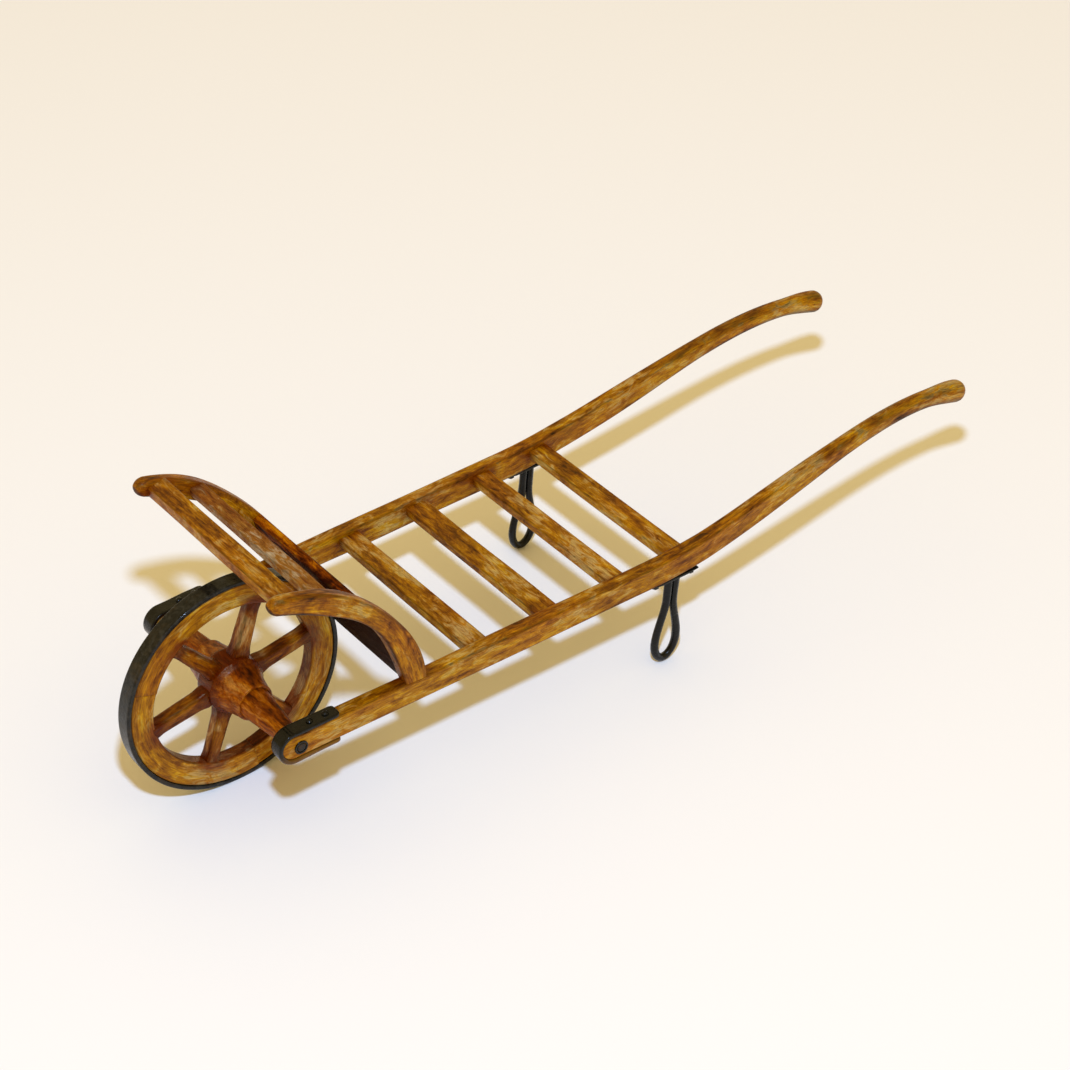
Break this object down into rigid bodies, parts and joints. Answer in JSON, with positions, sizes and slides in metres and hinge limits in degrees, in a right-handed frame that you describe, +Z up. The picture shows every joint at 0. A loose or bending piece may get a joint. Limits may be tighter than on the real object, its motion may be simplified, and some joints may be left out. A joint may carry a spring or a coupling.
{
  "type": "wheelbarrow",
  "caption": "Antique flat-bed wooden wheelbarrow with long curved handles, an open slatted bed, a curved front guard, iron loop legs and a spoked wheel that turns.",
  "frame": {"origin": "on the ground, under the middle of the overall box", "axes": "+X forward towards the wheel, along the length; +Y to the left side, along the axle; +Z up"},
  "size_m": [1.9042, 0.5022, 0.577],
  "materials": {
    "wood_ochre": "aged ochre-brown oiled wood",
    "wood_dark": "aged reddish-brown wood, glossy in the joints",
    "wood_grey": "weathered grey-brown wood",
    "iron_black": "black waxed wrought iron",
    "iron_brown": "worn brown iron"
  },
  "bodies": {
    "frame": {"left_rail": "wood_ochre", "right_rail": "wood_ochre", "slat_1": "wood_ochre", "slat_2": "wood_ochre", "slat_3": "wood_ochre", "slat_4": "wood_ochre", "slat_pegs": "wood_ochre", "left_arm": "wood_ochre", "right_arm": "wood_ochre", "arm_pegs": "wood_ochre", "top_bar": "wood_ochre", "middle_bar": "wood_grey", "lower_board": "wood_dark", "left_nose_strap": "iron_black", "right_nose_strap": "iron_black", "strap_nails": "iron_black", "left_bush": "iron_brown", "right_bush": "iron_brown", "left_leg": "iron_black", "right_leg": "iron_black", "leg_screws": "iron_black"},
    "wheel": {"hub": "wood_dark", "spoke_1": "wood_dark", "spoke_2": "wood_dark", "spoke_3": "wood_dark", "spoke_4": "wood_dark", "spoke_5": "wood_dark", "spoke_6": "wood_dark", "felloe_1": "wood_ochre", "felloe_2": "wood_ochre", "felloe_3": "wood_ochre", "felloe_dowels": "wood_ochre", "tyre": "iron_black", "axle": "wood_dark", "left_gudgeon": "iron_brown", "right_gudgeon": "iron_brown"}
  },
  "joints": [
    {"name": "wheel_spin", "type": "hinge", "parent": "frame", "child": "wheel", "pos_m": [0.721, 0, 0.231], "axis": [0, 1, 0], "continuous": true}
  ]
}
